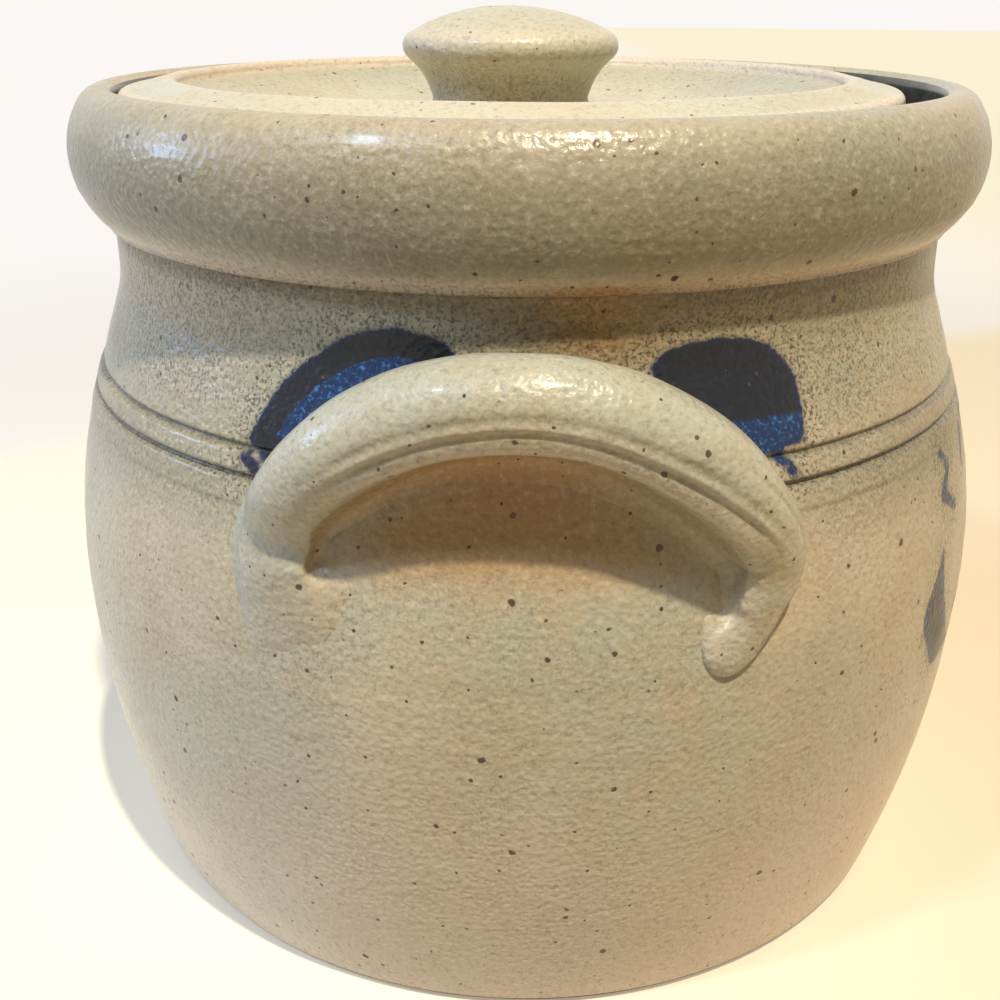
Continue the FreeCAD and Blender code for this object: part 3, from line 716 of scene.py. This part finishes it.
def ring_frames(path):
    """The place and size of every ring of the strap, as matrices on a unit circle."""
    lengths = [0.0]
    for here, there in zip(path, path[1:]):
        lengths.append(lengths[-1] + (there[0] - here[0]).length)
    frames = []
    for number, (centre, out, side, depth) in enumerate(path):
        before, after = path[max(number - 1, 0)], path[min(number + 1, len(path) - 1)]
        outward = out.normalized()
        across = (after[0] - before[0]).cross(outward).normalized()
        along = outward.cross(across)
        from_end = min(lengths[number], lengths[-1] - lengths[number])
        left = 1.0 - min(from_end / END_ROUNDING, 1.0)
        narrowing = max(math.sqrt(1.0 - left * left), TIP_SHARE)
        matrix = Matrix.Translation(centre * MM) @ Matrix((
            across * side * narrowing * MM, outward * depth * narrowing * MM,
            along * MM)).transposed().to_4x4()
        frames.append((matrix, lengths[number] / lengths[-1]))
    return frames


# The way round a ring is an angle: 0 under the strap, 90 in front, 180 on top.
LIP_WAY, FRONT_WAY, BACK_WAY = 42.0, 80.0, 300.0
# The hollow under the strap reaches in by a share of how far the strap stands off
# the wall, and beside a leg by a length. The one gives way to the other at a floor.
COVE_REACH, LEG_REACH = 0.75, 8.5
HOLLOW_FLOOR = {"left": 90.8, "right": 83.0}
FLOOR_BLEND = 2.4
# Its way round is in parts that end at these shares. The hidden part lies under the
# wall's surface, by a hair where it goes in and then by the depth of the join.
HOLLOW_END, DIVE_END, UNDER_END = 0.6, 0.66, 0.86
HAIR, SINK = 0.15, 1.6
SKIRT_HEIGHT, SKIRT_REACH = 2.6, 2.4
# How much of each end is smoothed in each pass, as a share of the strap's length.
MELTED_ENDS = (0.19, 0.17, 0.15, 0.14, 0.13, 0.12, 0.11, 0.10, 0.09, 0.08)


def pulled_ridges(way, share):
    """The grooves that wet fingers drew along the strap: their height and depth of glaze."""
    over_arch = smooth_step(share, 0.20, 0.36) * (1.0 - smooth_step(share, 0.76, 0.86))
    slip = 4.0 * noise.noise(Vector((share * 9.0, 2.0, 0.0)))
    soft = 0.7 + 0.6 * noise.noise(Vector((share * 14.0, 5.0, 0.0)))
    groove = over_arch * soft * (0.8 * bell(way, 108 + slip, 6.5) + bell(way, 88 + slip, 4.5))
    bead = over_arch * (bell(way, 67, 12.0) + 0.25 * bell(way, 98 + slip, 3.5))
    right_leg = smooth_step(share, 0.70, 0.78) * (1.0 - smooth_step(share, 0.93, 0.98))
    groove += 0.8 * right_leg * (bell(way, 140, 4.0) + 0.7 * bell(way, 156, 3.5))
    return 0.6 * bead - 0.42 * groove, groove, bead


def above_wall(point):
    return math.hypot(point.x, point.y) - wall_radius(point.z)


def laid_on_wall(point, height):
    """The same place, at a given height off the wall."""
    scale = (wall_radius(point.z) + height) / math.hypot(point.x, point.y)
    return Vector((point.x * scale, point.y * scale, point.z))


def thumbed_out(point, centre, away, way, share):
    """Draw the strap's outer edge out onto the wall, and keep none deep inside it."""
    height = above_wall(point)
    if height < SKIRT_HEIGHT and point.z < NECK_FOOT_Z:
        off = point - centre
        off -= away * off.dot(away)
        reach = SKIRT_REACH * (1.0 - max(height, 0.0) / SKIRT_HEIGHT) ** 2
        reach *= smooth_step(way, 100.0, 140.0) * (1.0 - smooth_step(share, 0.78, 0.86))
        point = laid_on_wall(point + off.normalized() * reach, height)
    return laid_on_wall(point, max(above_wall(point), -SINK))


def cove(lip, back, inward, share):
    """The hollow that a finger pressed under the strap, and the hidden way back.

    Under the arch it runs from the lip (share 0) straight in and curves down
    until it lies along the wall; beside a leg it is a long gentle ramp. From
    there it goes under the wall's surface and up to the strap's back (share 1).
    """
    stand = max(above_wall(lip), 0.0)
    floor = HOLLOW_FLOOR["left" if lip.x < 0.0 else "right"]
    arch = smooth_step(lip.z, floor - FLOOR_BLEND, floor + FLOOR_BLEND)
    leg_reach = LEG_REACH * min(stand / 1.5, 1.0)
    reach = leg_reach + (stand * COVE_REACH - leg_reach) * arch
    foot = laid_on_wall(lip + inward * reach, -HAIR)
    root = laid_on_wall(back, -SINK)
    if share < HOLLOW_END:
        part = share / HOLLOW_END
        turn = math.pi / 2.0 * part
        along = part + (1.0 - math.cos(turn) - part) * arch
        height = (1.0 - part) ** 2 + (1.0 - math.sin(turn) - (1.0 - part) ** 2) * arch
        point = laid_on_wall(lip + inward * reach * along, 0.0)
        return laid_on_wall(point, (stand + HAIR) * height - HAIR)
    if share < DIVE_END:
        part = (share - HOLLOW_END) / (DIVE_END - HOLLOW_END)
        return laid_on_wall(foot, -HAIR - (SINK - HAIR) * part)
    if share < UNDER_END:
        part = (share - DIVE_END) / (UNDER_END - DIVE_END)
        return laid_on_wall(laid_on_wall(foot, -SINK).lerp(root, part), -SINK)
    return root.lerp(back, (share - UNDER_END) / (1.0 - UNDER_END))


def draw_strap(bm, frames, way_of):
    """A closed tube of rings, one in each frame, whose points know their way round it."""
    ring = list(bmesh.ops.create_circle(bm, segments=RING_POINTS, radius=1.0)["verts"])
    for vertex in ring:
        vertex[way_of] = math.degrees(math.atan2(vertex.co.y, vertex.co.x)) % 360.0
    bmesh.ops.transform(bm, matrix=frames[0][0], verts=ring)
    rings, edges = [ring], bm.edges[:]
    for (before, _), (after, _) in zip(frames, frames[1:]):
        made = bmesh.ops.extrude_edge_only(bm, edges=edges)["geom"]
        ring = [item for item in made if isinstance(item, bmesh.types.BMVert)]
        members = set(ring)
        edges = [item for item in made if isinstance(item, bmesh.types.BMEdge)
                 and members.issuperset(item.verts)]
        bmesh.ops.transform(bm, matrix=after @ before.inverted(), verts=ring)
        rings.append(ring)
    bmesh.ops.holes_fill(bm, edges=[edge for edge in bm.edges if edge.is_boundary])
    return rings


def handle_glaze(way, share):
    """How far the glaze gathered and wore thin on the strap, and where golden shade is painted
    under it.
    """
    groove, bead = pulled_ridges(way, share)[1:]
    # Painted shade: golden brown in the hollow under the strap and on its lower front, mostly
    # over the middle of the arch.
    if way < 180.0:
        strap_shade = 1.0 - smooth_step(way, 30.0, 58.0) + 0.28 * bell(way, 88.0, 22.0)
    else:
        strap_shade = smooth_step(way, 296.0, 306.0)
    end = 1.0 - smooth_step(min(share, 1.0 - share), 0.02, 0.15)
    return 0.35 * groove, 0.8 * bead + 0.5 * end, bell(share, 0.45, 0.32) * strap_shade, 0.0


def make_handle(name, node, facing):
    """A tube drawn along the strap's way, its rings then fitted to lip, cove and wall."""
    bm = bmesh.new()
    way_of = bm.verts.layers.float.new("way")
    run_of = bm.verts.layers.float_color.new("glaze_run")
    frames = ring_frames(strap_path(strap_stations()))
    rings = draw_strap(bm, frames, way_of)
    for ring, (matrix, share) in zip(rings, frames):
        centre = matrix.translation / MM
        across, outward = matrix.col[0].to_3d() / MM, matrix.col[1].to_3d() / MM
        inward, away = across.normalized(), outward.normalized()

        def on_strap(way):
            angle = math.radians(way)
            off = across * math.cos(angle) + outward * math.sin(angle)
            place = (centre + off) / 9.0
            dent = 0.22 * noise.noise(place) + 0.35 * noise.noise(place / 3.0)
            ridge = pulled_ridges(way, share)[0]
            point = centre + off + off.normalized() * (ridge + dent)
            return thumbed_out(point, centre, away, way, share)

        lip, back = on_strap(LIP_WAY), on_strap(BACK_WAY)
        for vertex in ring:
            way = vertex[way_of]
            if LIP_WAY <= way <= BACK_WAY:
                vertex.co = on_strap(way) * MM
            else:
                below = (LIP_WAY - way) % 360.0 / (LIP_WAY - BACK_WAY + 360.0)
                vertex.co = cove(lip, back, inward, below) * MM
            vertex[run_of] = handle_glaze(way, share)
    for end in MELTED_ENDS:
        melted = [vertex for ring, (_, share) in zip(rings, frames)
                  if min(share, 1.0 - share) < end
                  for vertex in ring if not FRONT_WAY < vertex[way_of] < BACK_WAY]
        bmesh.ops.smooth_vert(bm, verts=melted, factor=0.5, use_axis_x=True,
                              use_axis_y=True, use_axis_z=True)
    bmesh.ops.rotate(bm, verts=bm.verts, cent=(0.0, 0.0, 0.0),
                     matrix=Matrix.Rotation(math.radians(facing), 3, "Z"))
    finish_piece(name, bm, [HANDLE_GLAZE], "pot", node)


# ----------------------------------------------------------------- lid and knob

LID_X = (LID_LOW.x + LID_HIGH.x) / 2
LID_R = (LID_HIGH.x - LID_LOW.x) / 2
KNOB_R = (KNOB_HIGH.x - KNOB_LOW.x) / 2
LID_STEPS = 256
KNOB_STEPS = 160
DISH_Z = LEDGE_Z + 0.6
KNOB_FOOT_Z = KNOB_LOW.z - 0.3

LID_SECTION = [
    # the shallow underside, then the part that lies on the ledge
    (50.0, LID_LOW.z, 8), (LID_R - 9.8, LEDGE_Z, 10), (LID_R - 1.8, LEDGE_Z, 4),
    # the outer edge
    (LID_R, LEDGE_Z + 1.8, 1.8, 1, 6), (LID_R, LEDGE_Z + 4.6, 3),
    (LID_R - 1.8, LEDGE_Z + 6.4, 1.8, 1, 7),
    # the raised ring and its inner lip
    (LID_R - 9.7, LID_HIGH.z, 12), (LID_R - 11.3, LID_HIGH.z - 1.6, 1.6, 1, 7),
    (LID_R - 11.8, LID_HIGH.z - 2.2, 3),
    # the dished middle
    (LID_R - 27.3, DISH_Z, 24), (0.0, DISH_Z, 24),
]
KNOB_SECTION = [
    # the foot that the knob is stuck on by, and the waist over it
    (18.4, KNOB_FOOT_Z, 3), (16.0, KNOB_LOW.z + 2.9, 4.2, -1, 8),
    (KNOB_R - 1.41, KNOB_HIGH.z - 10.2, 14.0, -1, 14),
    # the soft edge and the domed top
    (KNOB_R - 1.41, KNOB_HIGH.z - 5.13, 3.0, 1, 10), (0.0, KNOB_HIGH.z, 43.0, 1, 26),
]


def make_lid():
    """The thrown lid: a raised ring round a dished middle, and a shallow underside."""
    bm = bmesh.new()
    draw_section(bm, 0.0, LID_LOW.z, LID_SECTION)
    turn_on_wheel(bm, LID_X, LID_STEPS)
    run_of = bm.verts.layers.float_color.new("glaze_run")
    for vertex in bm.verts:
        point = vertex.co / MM
        radius = math.hypot(point.x - LID_X, point.y)
        dish = 0.35 * smooth_step(radius, LID_R - 30.0, LID_R - 12.0) \
            * (1.0 - smooth_step(radius, LID_R - 12.0, LID_R - 11.0))
        vertex[run_of] = (dish + 0.4 * bell(radius, 19.5, 1.5),
                          bell(radius, LID_R - 10.6, 1.2) + bell(radius, LID_R - 0.8, 1.0),
                          0.0, 0.3 * bell(radius, 34.0, 8.0))
        if point.z > LEDGE_Z + 0.5 and radius < LID_R - 2.0:
            rings = 0.13 * noise.noise(Vector((3.0, 0.0, radius / 2.4)))
            vertex.co.z += MM * (rings + 0.12 * noise.noise(point / 20.0) - 0.05)
    finish_piece("thrown_lid", bm, [LID_GLAZE], "lid", "lid_plate")


def make_knob():
    """The button knob: a waisted stem under a domed top with a soft edge."""
    bm = bmesh.new()
    draw_section(bm, 0.0, KNOB_FOOT_Z, KNOB_SECTION)
    turn_on_wheel(bm, LID_X, KNOB_STEPS)
    run_of = bm.verts.layers.float_color.new("glaze_run")
    for vertex in bm.verts:
        point = vertex.co / MM
        # The waist under the domed top is darker: glaze gathered there, and shade is painted on
        # under the dome.
        waist = bell(point.z, KNOB_LOW.z + 5.0, 5.0)
        vertex[run_of] = (0.15 + 0.35 * waist, 0.6 * bell(point.z, KNOB_HIGH.z - 5.4, 1.2), 0.0,
                          0.3 * waist)
        off = point - Vector((LID_X, 0.0, KNOB_LOW.z + 9.0))
        if point.z > KNOB_LOW.z + 0.5:
            rings = 0.10 * noise.noise(Vector((5.0, 0.0, math.hypot(off.x, off.y) / 2.0)))
            vertex.co += off.normalized() * MM * (rings + 0.2 * noise.noise(point / 12.0) - 0.12)
    finish_piece("button_knob", bm, [LID_GLAZE], "lid", "lid_knob")


make_wall()
make_handle("pulled_handle_front", "handle_front", 0.0)
make_handle("pulled_handle_rear", "handle_rear", 180.0)
make_lid()
make_knob()


# ------------------------------------------------------- floor, lights and camera

BACKDROP = colour("#faf7f4")


def seen_in_view(tree):
    """1 where the room itself is seen: by eye, in a gloss, or through glass."""
    light_path = add(tree, "ShaderNodeLightPath").outputs
    seen = 0.0
    for ray in ("Is Camera Ray", "Is Glossy Ray", "Is Transmission Ray"):
        seen = add(tree, "ShaderNodeMath", {0: light_path[ray], 1: seen},
                   operation="MAXIMUM")
    return seen


def make_floor():
    """White cotton cloth under the pot, out to where nothing of its edge shows.

    It is warmer to the right, fades out into the pale room, and keeps the pot's
    shadow. What it throws back onto the pot is plain and darker close by in front.
    """
    material, tree = new_material("white_cotton_cloth")
    place = add(tree, "ShaderNodeTexCoord").outputs["Object"]
    split = add(tree, "ShaderNodeSeparateXYZ", {0: place}).outputs
    warm = add(tree, "ShaderNodeMapRange", {"Value": split["X"], "From Min": -0.10,
               "From Max": 0.16}, **SOFT)

    # The cloth as it is seen, near the pot and beyond the fold behind it.
    near = add(tree, "ShaderNodeMix", {0: warm, 6: colour("#fefeec"),
               7: colour("#fdeac6")}, **COLOURS)
    warm_far = add(tree, "ShaderNodeMapRange", {"Value": split["X"], "From Min": 0.12,
                   "From Max": 0.45}, **SOFT)
    away = add(tree, "ShaderNodeMix", {0: warm_far, 6: BACKDROP, 7: colour("#fdf1d4")},
               **COLOURS)
    line = add(tree, "ShaderNodeMath", {0: split["X"], 1: -0.42, 2: split["Y"]},
               operation="MULTIPLY_ADD")
    beyond = add(tree, "ShaderNodeMapRange", {"Value": line, "From Min": 0.27,
                 "From Max": 0.31}, **SOFT)
    cloth = add(tree, "ShaderNodeMix", {0: beyond, 6: near, 7: away}, **COLOURS)

    # The light that it throws back onto the pot.
    thrown = add(tree, "ShaderNodeMix", {0: warm, 6: colour("#eef0ee"),
                 7: colour("#ecd9bb")}, **COLOURS)
    aside = add(tree, "ShaderNodeMath", {0: split["X"]}, operation="ABSOLUTE")
    aside = add(tree, "ShaderNodeMapRange", {"Value": aside, "From Min": 0.06,
                "From Max": 0.20, "To Min": 1.0, "To Max": 0.0}, **SOFT)
    ahead = add(tree, "ShaderNodeMapRange", {"Value": split["Y"], "From Min": -0.16,
                "From Max": -0.04, "To Min": 1.0, "To Max": 0.0}, **SOFT)
    edge = add(tree, "ShaderNodeMath", {0: aside, 1: ahead}, operation="MULTIPLY")
    thrown = add(tree, "ShaderNodeMix", {0: edge, 6: thrown, 7: colour("#8f7a5a")}, **COLOURS)
    plain = add(tree, "ShaderNodeBsdfDiffuse", {"Color": thrown})

    # A haze of warm light fills the shadow, and far out the cloth is evenly pale.
    lit = add(tree, "ShaderNodeBsdfDiffuse", {"Color": cloth})
    haze = add(tree, "ShaderNodeMix", {0: 0.6, 6: cloth, 7: colour("#ffe6cf")}, **COLOURS)
    haze = add(tree, "ShaderNodeEmission", {"Color": haze, "Strength": 1.0})
    shown = add(tree, "ShaderNodeMixShader", {0: 0.38, 1: lit, 2: haze})
    reach = add(tree, "ShaderNodeVectorMath", {0: place}, operation="LENGTH")
    far = add(tree, "ShaderNodeMapRange", {"Value": reach.outputs["Value"], "From Min": 0.30,
              "From Max": 0.70}, **SOFT)
    glow = add(tree, "ShaderNodeEmission", {"Color": cloth, "Strength": 1.0})
    shown = add(tree, "ShaderNodeMixShader", {0: far, 1: shown, 2: glow})
    choice = add(tree, "ShaderNodeMixShader", {0: seen_in_view(tree), 1: plain, 2: shown})
    add(tree, "ShaderNodeOutputMaterial", {"Surface": choice})

    bm = bmesh.new()
    bmesh.ops.create_circle(bm, cap_ends=True, segments=64, radius=6.0)
    floor = place_object("floor_cloth", bm, [material])


def make_world():
    """A pale room that is seen as white, and gives the pot only a little warm light."""
    world = bpy.data.worlds.new("pale_room")
    world.use_nodes = True
    tree = world.node_tree
    tree.nodes.clear()
    white = add(tree, "ShaderNodeBackground", {"Color": BACKDROP, "Strength": 1.0})
    room = add(tree, "ShaderNodeBackground", {"Color": colour("#ffdcae"), "Strength": 0.03})
    choice = add(tree, "ShaderNodeMixShader", {0: seen_in_view(tree), 1: room, 2: white})
    add(tree, "ShaderNodeOutputWorld", {"Surface": choice})
    bpy.context.scene.world = world


LAMP_TARGET = Vector((0.0, 0.0, 0.1))


def add_lamp(name, azimuth, elevation, distance, size, power, hex_code):
    """A round lamp that faces the pot; azimuth runs from the front to the right."""
    light = bpy.data.lights.new(name, "AREA")
    light.shape = "DISK"
    light.size = size
    light.energy = power
    light.color = colour(hex_code)[:3]
    lamp = bpy.data.objects.new(name, light)
    turn, lift = math.radians(azimuth), math.radians(elevation)
    way = Vector((math.sin(turn) * math.cos(lift), -math.cos(turn) * math.cos(lift),
                  math.sin(lift)))
    lamp.matrix_world = (Matrix.Translation(LAMP_TARGET + way * distance)
                         @ way.to_track_quat("Z", "Y").to_matrix().to_4x4())
    bpy.context.scene.collection.objects.link(lamp)


CAMERA_PLACE = Vector((0.0, -256.454, 177.003))
PITCH, YAW, ROLL = 23.3466, -1.1619, 0.158


def make_camera():
    data = bpy.data.cameras.new("camera")
    data.sensor_width = 36.0
    data.lens = 42.73
    data.clip_start = 0.01
    camera = bpy.data.objects.new("camera", data)
    camera.matrix_world = (Matrix.Translation(CAMERA_PLACE * MM)
                           @ Matrix.Rotation(math.radians(-YAW), 4, "Z")
                           @ Matrix.Rotation(math.radians(90.0 - PITCH), 4, "X")
                           @ Matrix.Rotation(math.radians(ROLL), 4, "Z"))
    bpy.context.scene.collection.objects.link(camera)
    bpy.context.scene.camera = camera


make_floor()
make_world()
add_lamp("ceiling_lamp", 21.0, 64.5, 1.6, 0.06, 29.5, "#fff4da")
add_lamp("second_lamp", -50.0, 53.0, 1.6, 0.16, 10.0, "#c6dfff")
add_lamp("window", -92.0, 20.0, 1.5, 0.3, 7.0, "#a5cbff")
add_lamp("warm_wall", 80.0, 0.0, 1.5, 0.8, 0.4, "#ffd39a")
make_camera()
bpy.context.scene.view_settings.view_transform = "Standard"
